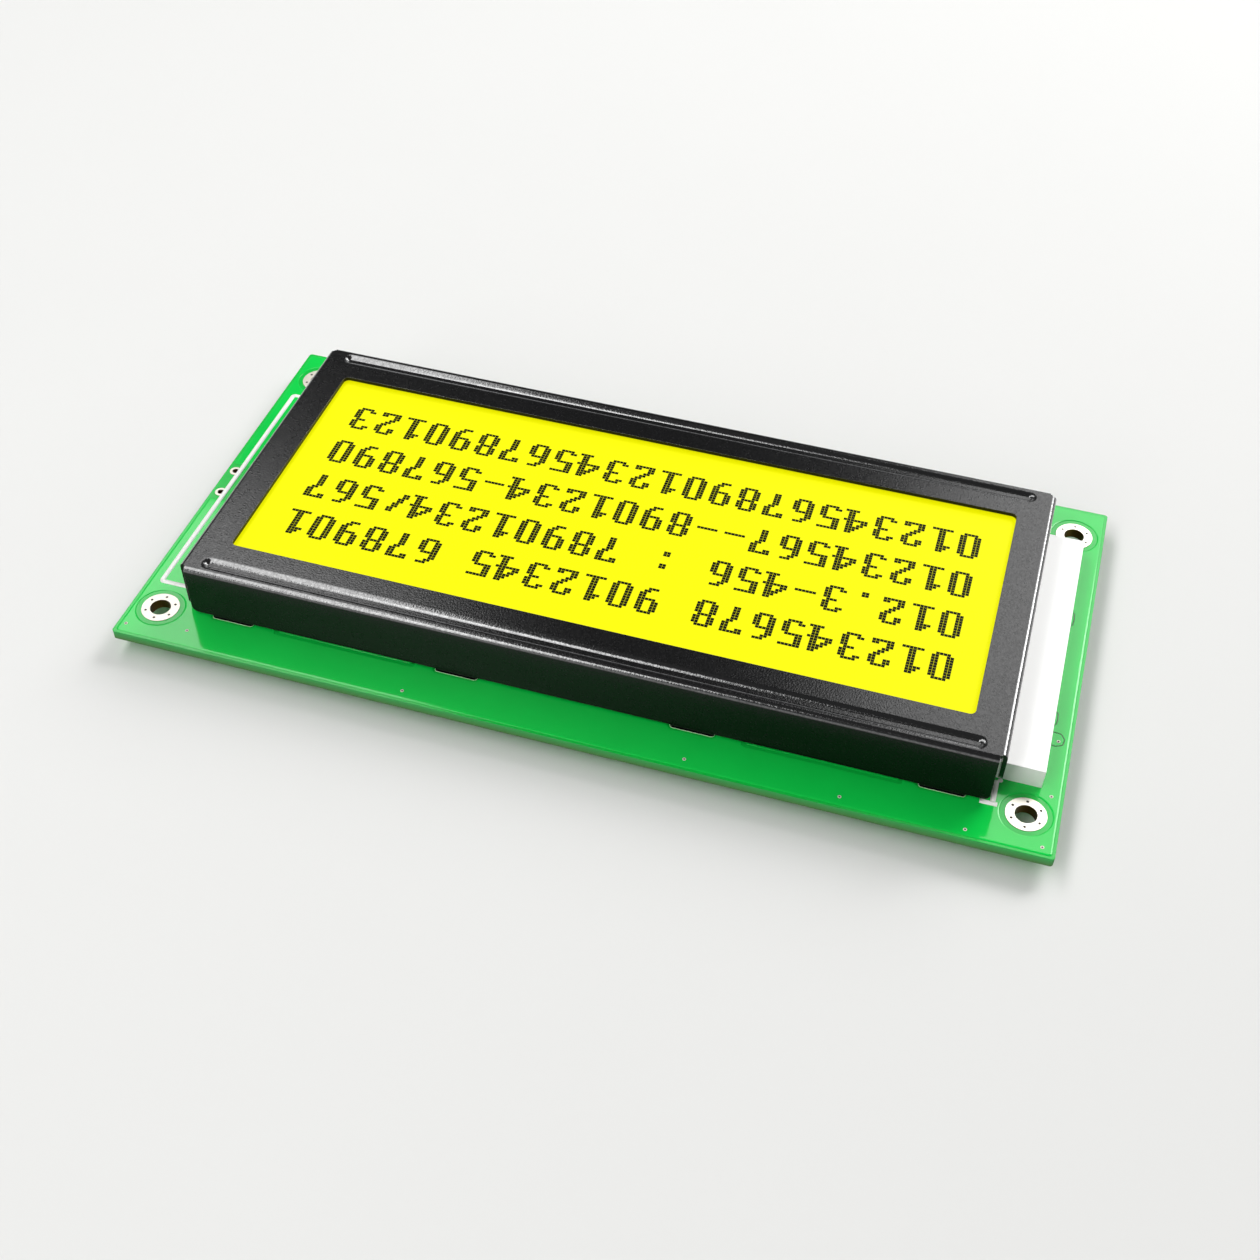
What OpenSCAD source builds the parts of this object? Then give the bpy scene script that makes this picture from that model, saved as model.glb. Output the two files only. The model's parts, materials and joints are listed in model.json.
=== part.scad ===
// Graphic dot-matrix display module: a green circuit board that carries a side-lit backlight, a glass
// display cell and a folded black steel bezel. The bezel's twisted tabs hold the stack to the board.
// Millimetres. +X runs along the reading direction, +Y to the top of the screen, +Z out of the screen.
// The origin lies under the middle of the board, on the plane of the tab tips.

/* [Circuit board] */
// Length of the board
board_l = 112; // [110:0.5:130]
// Width of the board
board_w = 57; // [56:0.5:70]
// Thickness of the board
board_t = 1.2; // [0.8:0.1:2]
// Radius of the board's corners
board_corner_r = 0.4; // [0.2:0.1:2]

/* [Mounting holes] */
// Distance between mounting holes along the board
hole_span_x = 104.5; // [102:0.5:106]
// Distance between mounting holes across the board
hole_span_y = 46.5; // [45:0.5:50]
// Finished bore of a mounting hole
mount_hole_d = 2.5; // [2:0.1:3.2]
// Outer diameter of the tinned ring around a mounting hole
mount_pad_d = 4.6; // [4:0.1:5]
// Thickness of the plating in a hole and of its rings
plating_t = 0.06; // [0.04:0.01:0.1]

/* [Terminal holes] */
// Number of holes in the signal row along the lower edge
header_count = 20; // [10:1:22]
// Distance between holes of the signal row
header_pitch = 2.54; // [2:0.01:2.54]
// Distance from the lower edge of the board to the signal row
header_edge = 2.8; // [1.5:0.1:3]
// Finished bore of a signal hole
header_hole_d = 1; // [0.8:0.05:1.1]
// Outer diameter of the ring around a signal hole
header_pad_d = 1.7; // [1.5:0.05:1.8]
// Distance between the two lamp supply holes at the right edge
lamp_pitch = 4.3; // [3:0.1:8]
// Distance from the right edge of the board to the lamp supply holes
lamp_edge = 1.2; // [0.9:0.05:2]
// Shift of the lamp supply holes towards the top edge of the board
lamp_y = -0.1; // [-3:0.1:3]
// Finished bore of a lamp hole
lamp_hole_d = 0.8; // [0.7:0.05:0.9]
// Outer diameter of the ring around a lamp hole
lamp_pad_d = 1.5; // [1.3:0.05:1.7]

/* [Bezel] */
// Length of the bezel
bezel_l = 97.8; // [95:0.2:98.4]
// Width of the bezel
bezel_w = 45; // [44:0.2:45.4]
// Shift of the display's centre towards the top edge of the board
display_y = 0.3; // [-0.6:0.1:0.6]
// Thickness of the steel sheet
sheet_t = 0.5; // [0.3:0.05:0.6]
// Inner radius of the folds
bend_r = 0.1; // [0.05:0.05:0.2]
// Side of the open square notch at each corner of the bezel
corner_notch = 0.8; // [0.6:0.1:1]
// Gap between the foot of a wall and the board
foot_gap = 0.35; // [0.1:0.05:0.5]
// Radius of the lower corners of the walls
foot_r = 0.8; // [0.4:0.1:1.5]
// Length of the viewing window
window_l = 89.2; // [80:0.2:90]
// Width of the viewing window
window_w = 34; // [28:0.2:34.4]
// Corner radius of the viewing window
window_r = 0.7; // [0.5:0.1:2]

/* [Pressed grooves] */
// Width of a pressed groove at the surface
groove_w = 2; // [1.8:0.1:2.2]
// Width of a groove's flat floor
groove_floor = 0.56; // [0.4:0.02:0.7]
// Depth of a pressed groove
groove_d = 0.35; // [0.28:0.01:0.4]
// Slope of a groove's rounded shoulders at the surface, in degrees
shoulder_tilt = 3; // [2:1:8]
// Distance from the outer face of a long wall to the middle of its groove
groove_inset = 1.8; // [1.75:0.05:1.9]
// Distance from the end of the bezel to the end of a groove
groove_end = 2.4; // [1.5:0.1:6]

/* [Bezel tabs] */
// Number of tabs on each long wall
tab_count = 4; // [2:1:4]
// Distance between tabs
tab_pitch = 28.6; // [24:0.2:28.8]
// Width of a tab
tab_w = 5; // [3:0.1:5.4]
// Distance from the board's back to the tips of the tabs
tab_drop = 2; // [1.9:0.1:3]
// Angle by which a tab is twisted behind the board
tab_twist = 25; // [15:1:40]
// Length over which a tab is twisted
twist_h = 0.7; // [0.5:0.1:0.9]
// Straight length of a tab between the board's back and its twist
twist_start = 0.15; // [0.1:0.05:0.3]
// Radius of the corners of a tab's tip
tip_r = 0.5; // [0.2:0.1:0.7]
// Gap between a tab and the rim of its slot
slot_gap = 0.1; // [0.1:0.05:0.5]

/* [Display cell] */
// Thickness of each glass plate
glass_t = 1.1; // [0.7:0.1:1.1]
// Gap between the front glass and the bezel walls
glass_gap = 0.4; // [0.3:0.05:0.7]
// Width of the bare contact ledge on each long side of the front glass
contact_ledge = 2.6; // [2.2:0.1:2.8]
// Thickness of a polariser sheet
polariser_t = 0.2; // [0.1:0.02:0.26]
// Overlap of the front polariser beyond the window
polariser_lap = 1.2; // [0.6:0.1:1.2]
// Distance from the edge of the rear glass to the edge of the rear polariser
rear_lap = 0.8; // [0.4:0.1:1.2]
// Clearance between the pressed ridges and the front glass
press_gap = 0.05; // [0.02:0.01:0.1]
// Width of the sealing bead on the filling port
seal_w = 2.2; // [1.5:0.1:4]
// Height of the sealing bead off the edge of the glass
seal_h = 0.25; // [0.15:0.05:0.28]

/* [Contact strips] */
// Width of a rubber contact strip
strip_w = 1.6; // [1:0.1:1.6]
// Distance from the end of the front glass to the end of a strip
strip_end = 2; // [1:0.5:8]

/* [Backlight] */
// Width of the white housing where it leaves the bezel as the lamp block
housing_w = 38.6; // [36:0.2:42]
// Gap between the housing's tray and a contact strip
strip_gap = 0.25; // [0.1:0.05:0.6]
// Gap between the housing and the bezel's right wall
housing_gap = 0.8; // [0.4:0.1:1.5]
// Thickness of the housing's rim
rim_t = 1.2; // [0.8:0.1:2]
// Thickness of the housing's floor
floor_t = 0.6; // [0.4:0.1:1]
// Thickness of the reflector film
reflector_t = 0.1; // [0.06:0.01:0.2]
// Thickness of the light guide
guide_t = 3.25; // [3:0.05:4]
// Thickness of the light guide's tongue under the bezel wall
tongue_t = 1.35; // [1:0.05:1.5]
// Reach of the tongue beyond the outermost lamps
tongue_margin = 1.4; // [0:0.1:1.5]
// Length of the slope from the tongue up to the full light guide
ramp_l = 2; // [1:0.1:4]
// Thickness of the diffuser film
diffuser_t = 0.1; // [0.06:0.01:0.2]
// Clearance around the light guide, the films and the lamp strip
lamp_clear = 0.1; // [0.05:0.05:0.2]
// Reach of the lamp block beyond the bezel's left wall
block_reach = 4.5; // [4.3:0.1:5.6]
// Shift of the lamp block towards the top edge of the board
block_y = -0.2; // [-1:0.1:1]
// Height of the lamp block
block_h = 2.8; // [2.7:0.05:3.2]
// Thickness of the lamp block's roof and outer wall
block_skin = 0.6; // [0.4:0.05:0.6]
// Gap between the lamp block and the bezel wall above it
neck_gap = 0.2; // [0.1:0.05:0.5]

/* [Lamps] */
// Number of lamps on the lamp strip
led_count = 6; // [3:1:6]
// Distance between lamps
led_pitch = 5.6; // [4:0.1:5.7]
// Length of a lamp along the strip
led_l = 2.8; // [2:0.1:3]
// Depth of a lamp
led_d = 1.1; // [0.8:0.05:1.1]
// Height of a lamp
led_h = 1.4; // [1:0.1:1.6]
// Depth of the bright recess in a lamp
led_recess = 0.2; // [0.1:0.05:0.4]
// Rim around the bright recess of a lamp
led_rim = 0.25; // [0.15:0.05:0.4]
// Thickness of the lamp strip
strip_board_t = 0.6; // [0.4:0.1:0.6]
// Distance from the lamp strip's end to the middle of a lead pin
pin_end = 1; // [0.5:0.1:1.1]
// Length of a lead pin behind the board
pin_drop = 0.7; // [0.4:0.1:1.2]
// Clearance between a lead pin's corners and its hole
pin_clear = 0.05; // [0.03:0.01:0.1]

/* [Chip side] */
// Number of chips under epoxy caps
blob_count = 5; // [3:1:5]
// Distance between epoxy caps
blob_pitch = 19; // [16:0.5:20]
// Diameter of an epoxy cap
blob_d = 13; // [10:0.5:14]
// Height of an epoxy cap
blob_h = 1.5; // [1:0.1:1.7]
// Shift of the row of epoxy caps towards the top edge
blob_y = 2; // [0:0.5:4]
// Number of resistors, and of capacitors
chip_count = 8; // [4:1:8]
// Distance between chip parts
chip_pitch = 9.5; // [6:0.5:10]
// Length of a chip part
chip_l = 2; // [1.6:0.1:2.4]
// Width of a chip part
chip_w = 1.25; // [0.8:0.05:1.4]
// Height of a resistor
resistor_h = 0.5; // [0.4:0.05:0.7]
// Height of a capacitor
capacitor_h = 0.9; // [0.6:0.05:1.2]
// Length of the metal cap on each end of a chip part
cap_l = 0.4; // [0.25:0.05:0.5]
// Thickness of the metal cap
cap_t = 0.03; // [0.02:0.01:0.05]
// Gap between the epoxy caps and each row of chip parts
chip_row_gap = 3; // [2:0.5:3.5]

/* [Hidden] */
$fn = 64;

// Heights of the stack, from the board's back upwards
board_z = tab_drop;
top_z = board_z + board_t;
reflector_z = top_z + floor_t;
guide_z = reflector_z + reflector_t;
diffuser_z = guide_z + guide_t;
rear_polariser_z = diffuser_z + diffuser_t;
rear_glass_z = rear_polariser_z + polariser_t;
front_glass_z = rear_glass_z + glass_t;
front_polariser_z = front_glass_z + glass_t;
sheet_z = front_polariser_z + press_gap + groove_d;
bezel_z = sheet_z + sheet_t;
foot_z = top_z + foot_gap;
block_z = top_z + block_h;

// Bezel plan
half_l = bezel_l / 2;
half_w = bezel_w / 2;
fold_r = bend_r + sheet_t;
long_wall_l = bezel_l - 2 * corner_notch;
short_wall_w = bezel_w - 2 * corner_notch;
wall_y = half_w - sheet_t / 2;
groove_y = half_w - groove_inset;
shoulder_run = (groove_w - groove_floor) / 2;
shoulder_rise = atan2(groove_d, shoulder_run) - shoulder_tilt;
shoulder_r = norm([shoulder_run, groove_d]) / (2 * sin(shoulder_rise));
groove_l = bezel_l - 2 * groove_end;

// Display plan
glass_l = bezel_l - 2 * (sheet_t + glass_gap);
glass_w = bezel_w - 2 * (sheet_t + glass_gap);
rear_glass_w = glass_w - 2 * contact_ledge;
strip_l = glass_l - 2 * strip_end;

// Backlight plan: the tray lies inside the bezel, the lamp block reaches out under its left wall
tray_l = 2 * (half_l - sheet_t - housing_gap);
tray_w = 2 * (groove_y - strip_w / 2 - strip_gap);
pocket_l = tray_l - 2 * rim_t;
pocket_w = tray_w - 2 * rim_t;
lamp_room_w = housing_w - 2 * rim_t;
block_x = -half_l - block_reach;
lamp_room_z = block_z - block_skin;
strip_board_x = block_x + block_skin + lamp_clear;
led_x = strip_board_x + strip_board_t;
guide_x = led_x + led_d + 2 * lamp_clear;
lamp_room_end_x = guide_x + rim_t;
strip_board_w = lamp_room_w - 2 * lamp_clear;
tongue_w = (led_count - 1) * led_pitch + led_l + 2 * tongue_margin;
strip_board_h = lamp_room_z - top_z - plating_t - 2 * lamp_clear;
pin_w = (lamp_hole_d - 2 * pin_clear) / sqrt(2);
pin_x = led_x + pin_w / 2;
pin_y = strip_board_w / 2 - pin_end;

// Rows on the board
mount_points = [for (x = [-1, 1], y = [-1, 1]) [x * hole_span_x / 2, y * hole_span_y / 2]];
header_points = [
    for (i = [0:header_count - 1])
        [(i - (header_count - 1) / 2) * header_pitch, header_edge - board_w / 2]
];
lamp_points = [for (y = [-1, 1]) [board_l / 2 - lamp_edge, lamp_y + y * lamp_pitch / 2]];
pin_points = [for (y = [-1, 1]) [pin_x, block_y + y * pin_y]];
tab_points = [for (i = [0:tab_count - 1]) (i - (tab_count - 1) / 2) * tab_pitch];

// Rows behind the board
chip_row_y = blob_d / 2 + chip_row_gap;
function row_x(i, count, pitch) = (i - (count + 1) / 2) * pitch;

// Small overshoot that makes a cut pass clean through
cut = 1;

// Flat outlines

module rounded_plate(l, w, r) {
    square([l - 2 * r, w], center = true);
    square([l, w - 2 * r], center = true);
    for (x = [-1, 1], y = [-1, 1])
        translate([x * (l / 2 - r), y * (w / 2 - r)])
            circle(r);
}

module slot_outline(l, w) {
    square([l - w, w], center = true);
    for (x = [-1, 1])
        translate([x * (l - w) / 2, 0])
            circle(w / 2);
}

// Panel that stands on its lower edge, with that edge's corners rounded
module foot_panel(l, h, r) {
    translate([-l / 2, r])
        square([l, h - r]);
    translate([r - l / 2, 0])
        square([l - 2 * r, r]);
    for (x = [-1, 1])
        translate([x * (l / 2 - r), r])
            circle(r);
}

// Section of a pressed groove, with the sheet's surface at height 0
module groove_profile() {
    difference() {
        translate([-groove_w / 2, -groove_d])
            square([groove_w, groove_d + cut]);
        for (x = [-1, 1])
            translate([x * (groove_w / 2 + shoulder_r * sin(shoulder_tilt)), -shoulder_r * cos(shoulder_tilt)])
                circle(shoulder_r);
    }
}

// Section of the ridge behind a pressed groove
module ridge_profile() {
    translate([0, -groove_d])
        slot_outline(groove_floor + 2 * sheet_t, 2 * sheet_t);
}

module fold_profile() {
    intersection() {
        difference() {
            circle(fold_r);
            circle(bend_r);
        }
        square(fold_r);
    }
}

// Solids that repeat

module slab(l, w, t, z) {
    translate([-l / 2, display_y - w / 2, z])
        cube([l, w, t]);
}

// Section drawn along X as far as a pressed groove reaches, with half a turn of it at each end
module along_groove() {
    straight_l = groove_l - groove_w;
    rotate([90, 0, 90])
        linear_extrude(straight_l, center = true)
            children();
    for (turn = [-90, 90])
        translate([-sign(turn) * straight_l / 2, 0, 0])
            rotate([0, 0, turn])
                rotate_extrude(angle = 180)
                    intersection() {
                        children();
                        translate([0, -groove_w])
                            square([groove_w, 2 * groove_w]);
                    }
}

// Plated barrel with a ring on each face of the board
module plated_hole(bore_d, pad_d) {
    bore_r = bore_d / 2;
    pad_r = pad_d / 2;
    barrel_r = bore_r + plating_t;
    rotate_extrude()
        polygon([
            [bore_r, board_z - plating_t], [pad_r, board_z - plating_t], [pad_r, board_z],
            [barrel_r, board_z], [barrel_r, top_z], [pad_r, top_z],
            [pad_r, top_z + plating_t], [bore_r, top_z + plating_t]
        ]);
}

module plated_holes(points, bore_d, pad_d) {
    color("#e8e4d0")
        for (p = points)
            translate(p)
                plated_hole(bore_d, pad_d);
}

module drilled(points, bore_d) {
    for (p = points)
        translate(p)
            circle(bore_d / 2 + plating_t);
}

module chip_part(h) {
    body_w = chip_w - 2 * cap_t;
    translate([-chip_l / 2, -body_w / 2, board_z - h + cap_t])
        cube([chip_l, body_w, h - cap_t]);
    for (x = [-1, 1])
        translate([x * (chip_l - cap_l) / 2 - cap_l / 2, -chip_w / 2, board_z - h])
            cube([cap_l, chip_w, h]);
}

// Board

module circuit_board() {
    color("#12a848")
        translate([0, 0, board_z])
            linear_extrude(board_t)
                difference() {
                    rounded_plate(board_l, board_w, board_corner_r);
                    drilled(mount_points, mount_hole_d);
                    drilled(header_points, header_hole_d);
                    drilled(lamp_points, lamp_hole_d);
                    drilled(pin_points, lamp_hole_d);
                    for (x = tab_points, y = [-1, 1])
                        translate([x, display_y + y * wall_y])
                            slot_outline(tab_w + 2 * slot_gap, sheet_t + 2 * slot_gap);
                }
}

module mounting_hole_plating() {
    plated_holes(mount_points, mount_hole_d, mount_pad_d);
}

module signal_hole_plating() {
    plated_holes(header_points, header_hole_d, header_pad_d);
}

module lamp_hole_plating() {
    plated_holes(concat(lamp_points, pin_points), lamp_hole_d, lamp_pad_d);
}

// Bezel

module bezel_top() {
    translate([0, 0, sheet_z])
        linear_extrude(sheet_t)
            difference() {
                square([bezel_l - 2 * fold_r, bezel_w - 2 * fold_r], center = true);
                rounded_plate(window_l, window_w, window_r);
            }
}

module long_wall() {
    translate([0, half_w - fold_r, bezel_z - fold_r])
        rotate([90, 0, 90])
            linear_extrude(long_wall_l, center = true)
                fold_profile();
    translate([0, wall_y, foot_z])
        rotate([90, 0, 0])
            linear_extrude(sheet_t, center = true)
                foot_panel(long_wall_l, bezel_z - fold_r - foot_z, foot_r);
    for (x = tab_points)
        translate([x, wall_y, 0])
            bezel_tab();
}

// Fold and wall of a short side, down to the given height
module short_wall(low_z) {
    translate([half_l - fold_r, 0, bezel_z - fold_r])
        rotate([90, 0, 0])
            linear_extrude(short_wall_w, center = true)
                fold_profile();
    translate([half_l - sheet_t / 2, 0, low_z])
        rotate([90, 0, 90])
            linear_extrude(sheet_t, center = true)
                foot_panel(short_wall_w, bezel_z - fold_r - low_z, foot_r);
}

// Tab through the board, then twisted so that it can't draw back through its slot
module bezel_tab() {
    twist_z = board_z - twist_start;
    tip_h = twist_z - twist_h;
    translate([-tab_w / 2, -sheet_t / 2, twist_z])
        cube([tab_w, sheet_t, foot_z - twist_z]);
    translate([0, 0, tip_h])
        rotate([0, 0, tab_twist])
            linear_extrude(twist_h, twist = tab_twist, slices = 5, segments = 4)
                square([tab_w, sheet_t], center = true);
    rotate([90, 0, tab_twist])
        linear_extrude(sheet_t, center = true)
            foot_panel(tab_w, tip_h, tip_r);
}

module groove_place() {
    for (y = [-1, 1])
        translate([0, y * groove_y, bezel_z])
            children();
}

// The back of the pressed grooves: two ridges that press the front glass onto the contact strips
module pressed_ridges() {
    intersection() {
        groove_place()
            along_groove()
                ridge_profile();
        translate([-half_l, -half_w, sheet_z - groove_d - cut])
            cube([bezel_l, bezel_w, groove_d + cut + sheet_t / 2]);
    }
}

module bezel() {
    color("#1c1c1e")
        translate([0, display_y, 0])
            difference() {
                union() {
                    bezel_top();
                    pressed_ridges();
                    long_wall();
                    mirror([0, 1, 0])
                        long_wall();
                    short_wall(foot_z);
                    mirror([1, 0, 0])
                        short_wall(block_z + neck_gap);
                }
                groove_place()
                    along_groove()
                        groove_profile();
            }
}

// Display cell

module front_polariser() {
    color("#f4f40a")
        slab(window_l + 2 * polariser_lap, window_w + 2 * polariser_lap, polariser_t, front_polariser_z);
}

module front_glass() {
    color("#cfe3d8", 0.5)
        slab(glass_l, glass_w, glass_t, front_glass_z);
}

module rear_glass() {
    color("#cfe3d8", 0.5)
        slab(glass_l, rear_glass_w, glass_t, rear_glass_z);
}

module rear_polariser() {
    color("#c8cc30")
        slab(glass_l - 2 * rear_lap, rear_glass_w - 2 * rear_lap, polariser_t, rear_polariser_z);
}

// Bead of resin on the right edge of the glass pair, over the gap between the plates
module filling_port_seal() {
    seal_r = (pow(seal_w / 2, 2) + pow(seal_h, 2)) / (2 * seal_h);
    color("#d8c890")
        translate([glass_l / 2, display_y, front_glass_z - glass_t / 2])
            linear_extrude(glass_t)
                intersection() {
                    translate([seal_h - seal_r, 0])
                        circle(seal_r, $fn = 128);
                    translate([0, -seal_w / 2])
                        square([seal_h, seal_w]);
                }
}

module contact_strip(side) {
    color("#7a8a8c")
        translate([-strip_l / 2, display_y + side * groove_y - strip_w / 2, top_z])
            cube([strip_l, strip_w, front_glass_z - top_z]);
}

module upper_contact_strip() {
    contact_strip(1);
}

module lower_contact_strip() {
    contact_strip(-1);
}

// Backlight

module housing_box(x0, x1, y, w, z0, z1) {
    translate([x0, y - w / 2, z0])
        cube([x1 - x0, w, z1 - z0]);
}

module backlight_housing() {
    color("#f6f6f2")
        difference() {
            union() {
                housing_box(-tray_l / 2, tray_l / 2, display_y, tray_w, top_z, diffuser_z);
                housing_box(block_x, -tray_l / 2, block_y, housing_w, top_z, block_z);
            }
            housing_box(-pocket_l / 2, pocket_l / 2, display_y, pocket_w, reflector_z, diffuser_z + cut);
            housing_box(block_x + block_skin, 0, block_y, tongue_w + 2 * lamp_clear, reflector_z, lamp_room_z);
            housing_box(block_x + block_skin, lamp_room_end_x, block_y, lamp_room_w, top_z - cut, lamp_room_z);
        }
}

// Clear slab whose left end slopes down to a tongue that faces the lamps
module light_guide() {
    slab_x = lamp_clear - pocket_l / 2;
    far_x = pocket_l / 2 - lamp_clear;
    guide_w = pocket_w - 2 * lamp_clear;
    color("#e4f2f0", 0.6)
        translate([0, 0, guide_z]) {
            translate([0, display_y, 0])
                rotate([90, 0, 0])
                    linear_extrude(guide_w, center = true)
                        polygon([
                            [slab_x, 0], [far_x, 0], [far_x, guide_t],
                            [slab_x + ramp_l, guide_t], [slab_x, tongue_t]
                        ]);
            translate([guide_x, block_y - tongue_w / 2, 0])
                cube([slab_x + ramp_l - guide_x, tongue_w, tongue_t]);
        }
}

module reflector_film() {
    color("#fafafa")
        slab(pocket_l - 2 * lamp_clear, pocket_w - 2 * lamp_clear, reflector_t, reflector_z);
}

module diffuser_film() {
    color("#f2f2ee")
        slab(tray_l - rim_t, tray_w - rim_t, diffuser_t, diffuser_z);
}

module lamp_strip_board() {
    color("#d8e8d8")
        translate([strip_board_x, block_y - strip_board_w / 2, top_z + plating_t + lamp_clear])
            cube([strip_board_t, strip_board_w, strip_board_h]);
}

module lamp(i) {
    y = block_y + row_x(i, led_count, led_pitch);
    z = guide_z + tongue_t / 2;
    color("#fff6c8")
        translate([led_x, y, z])
            difference() {
                translate([0, -led_l / 2, -led_h / 2])
                    cube([led_d, led_l, led_h]);
                translate([led_d - led_recess, led_rim - led_l / 2, led_rim - led_h / 2])
                    cube([led_recess + cut, led_l - 2 * led_rim, led_h - 2 * led_rim]);
            }
}

module lamp_lead_pin(i) {
    p = pin_points[i - 1];
    low_z = board_z - pin_drop;
    color("#c8c8c4")
        translate([p.x - pin_w / 2, p.y - pin_w / 2, low_z])
            cube([pin_w, pin_w, lamp_room_z - lamp_clear - low_z]);
}

// Back of the board

module chip_epoxy_cap(i) {
    cap_r = (pow(blob_d / 2, 2) + pow(blob_h, 2)) / (2 * blob_h);
    color("#161618")
        translate([row_x(i, blob_count, blob_pitch), blob_y, board_z])
            mirror([0, 0, 1])
                rotate_extrude()
                    intersection() {
                        translate([0, blob_h - cap_r])
                            circle(cap_r, $fn = 128);
                        square([blob_d / 2, blob_h]);
                    }
}

module chip_resistor(i) {
    color("#2a2a30")
        translate([row_x(i, chip_count, chip_pitch), blob_y + chip_row_y, 0])
            chip_part(resistor_h);
}

module chip_capacitor(i) {
    color("#b09068")
        translate([row_x(i, chip_count, chip_pitch), blob_y - chip_row_y, 0])
            chip_part(capacitor_h);
}

circuit_board();
mounting_hole_plating();
signal_hole_plating();
lamp_hole_plating();
bezel();
front_polariser();
front_glass();
rear_glass();
rear_polariser();
filling_port_seal();
upper_contact_strip();
lower_contact_strip();
backlight_housing();
light_guide();
reflector_film();
diffuser_film();
lamp_strip_board();
for (i = [1:led_count]) lamp(i);
for (i = [1:2]) lamp_lead_pin(i);
for (i = [1:blob_count]) chip_epoxy_cap(i);
for (i = [1:chip_count]) chip_resistor(i);
for (i = [1:chip_count]) chip_capacitor(i);
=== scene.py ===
"""Looks of a graphic dot-matrix display module: finishes, board print, vias, solder and screen dots."""

import json
import math

import bpy
from bpy.props import FloatProperty, FloatVectorProperty, PointerProperty
from mathutils import Matrix, Vector


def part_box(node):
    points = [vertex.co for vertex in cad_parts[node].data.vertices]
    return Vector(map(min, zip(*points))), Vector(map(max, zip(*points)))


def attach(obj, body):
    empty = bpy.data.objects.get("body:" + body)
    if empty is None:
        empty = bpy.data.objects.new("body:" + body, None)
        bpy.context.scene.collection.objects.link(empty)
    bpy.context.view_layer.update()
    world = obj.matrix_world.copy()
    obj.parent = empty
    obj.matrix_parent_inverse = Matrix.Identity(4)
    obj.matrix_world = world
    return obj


bl_info = {
    "name": "Display module",
    "version": (1, 0, 0),
    "blender": (4, 5, 0),
    "location": "View3D > Sidebar > Display module",
    "description": "Dresses a graphic dot-matrix display module and sets a plain stage for it",
    "category": "Object",
}

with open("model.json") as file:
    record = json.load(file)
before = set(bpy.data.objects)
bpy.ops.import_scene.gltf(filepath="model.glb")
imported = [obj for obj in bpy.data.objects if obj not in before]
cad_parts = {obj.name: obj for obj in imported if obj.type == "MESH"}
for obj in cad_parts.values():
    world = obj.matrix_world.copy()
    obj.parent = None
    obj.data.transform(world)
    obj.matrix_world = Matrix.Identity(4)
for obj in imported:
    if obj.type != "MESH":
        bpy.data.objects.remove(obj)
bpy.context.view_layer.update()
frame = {"nodes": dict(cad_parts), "record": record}

BODY = "root"
MM = 0.001

# Places that come from the frame, in metres
BOARD_LOW, BOARD_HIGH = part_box("circuit_board")
FILM_LOW, FILM_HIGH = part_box("front_polariser")
HOUSING_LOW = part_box("backlight_housing")[0]
SCREEN_MID = (FILM_LOW + FILM_HIGH) / 2
BOARD_TOP = BOARD_HIGH.z
BOARD_BACK = BOARD_LOW.z
MOUNTS = {mount["name"]: mount for mount in frame["record"]["mounts"]}

# What the screen shows: plain counting digits, 24 in a line
SCREEN_LINES = (
    "012345678 9012345 678901",
    "012.3-456 : 78901234/567",
    "01234567--8901234-567890",
    "012345678901234567890123",
)
CELL_COLUMNS = 8
CELL_ROWS = 16
GLYPH_TOP = 3

# The digits and the signs side by side, each in its own cell of eight columns
GLYPH_SHEETS = {
    "0123456789": (
        " ####     ##     ####    ####       ##  ######    ###   ######   ####    ####",
        "##  ##   ###    ##  ##  ##  ##     ###  ##       ##     ##  ##  ##  ##  ##  ##",
        "##  ##  ####    ##  ##      ##    ####  ##      ##          ##  ##  ##  ##  ##",
        "##  ##    ##        ##      ##   ## ##  ##      ##          ##  ##  ##  ##  ##",
        "##  ##    ##       ##     ###   ##  ##  #####   #####      ##    ####   ##  ##",
        "##  ##    ##      ##        ##  #######     ##  ##  ##    ##    ##  ##   #####",
        "##  ##    ##     ##         ##      ##      ##  ##  ##    ##    ##  ##      ##",
        "##  ##    ##    ##          ##      ##      ##  ##  ##    ##    ##  ##      ##",
        "##  ##    ##    ##  ##  ##  ##      ##  ##  ##  ##  ##    ##    ##  ##     ##",
        " ####   ######  ######   ####      ####  ####    ####     ##     ####    ###",
    ),
    ".-:/": (
        "",
        "                           ##",
        "                  ##       ##",
        "                  ##      ##",
        "                          ##",
        "        ######           ##",
        "                         ##",
        "                  ##    ##",
        "  ##              ##    ##",
        "  ##",
    ),
}

# Copper, print and vias on the board, in millimetres from its middle
SLOT_PITCH = 28.6
SLOT_COUNT = 4
SLOT_LENGTH = 5.2
SLOT_WIDTH = 0.7
SLOT_ROW = 22.25
COPPER_CORNER = 0.4
TRENCHED_ZONES = (((19.5, 21.2), (37.4, 23.1)), ((-38.5, 21.2), (-20.2, 23.15)))
TRENCH = 0.38
TRENCH_CORNER = 0.3
HIDDEN_HALF = (47.0, 20.2)
SUPPLY_NOTCH = (53.5, 3.6)
SIGNAL_RING = 0.85
EDGE_VIAS = (
    (47.4, 25.8), (19.3, 27.0), (-14.6, 27.0), (-32.3, 27.0),
    (-46.2, 27.3), (54.9, 26.9), (-54.5, 27.2),
)
FAR_VIA_REACH = 50.0
SIDE_VIAS = ((-54.6, 20.0), (-54.4, 11.8))
LAMP_FRAME_PRINT = ((47.6, 19.1), (54.25, 19.1), (54.25, -19.1), (47.6, -19.1))
CORNER_PRINT = ((-47.1, 22.9), (-49.05, 22.9))
CORNER_LEG_PRINT = ((-48.5, 22.55), (-48.5, 19.5))
# A white dot painted as the highlight at the bezel's corner, in the ink's finish
CORNER_GLINT_DOT = (-48.9, 19.4)
GLINT_DOT_WIDTH = 0.6
PRINT_CORNER = 0.3
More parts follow.
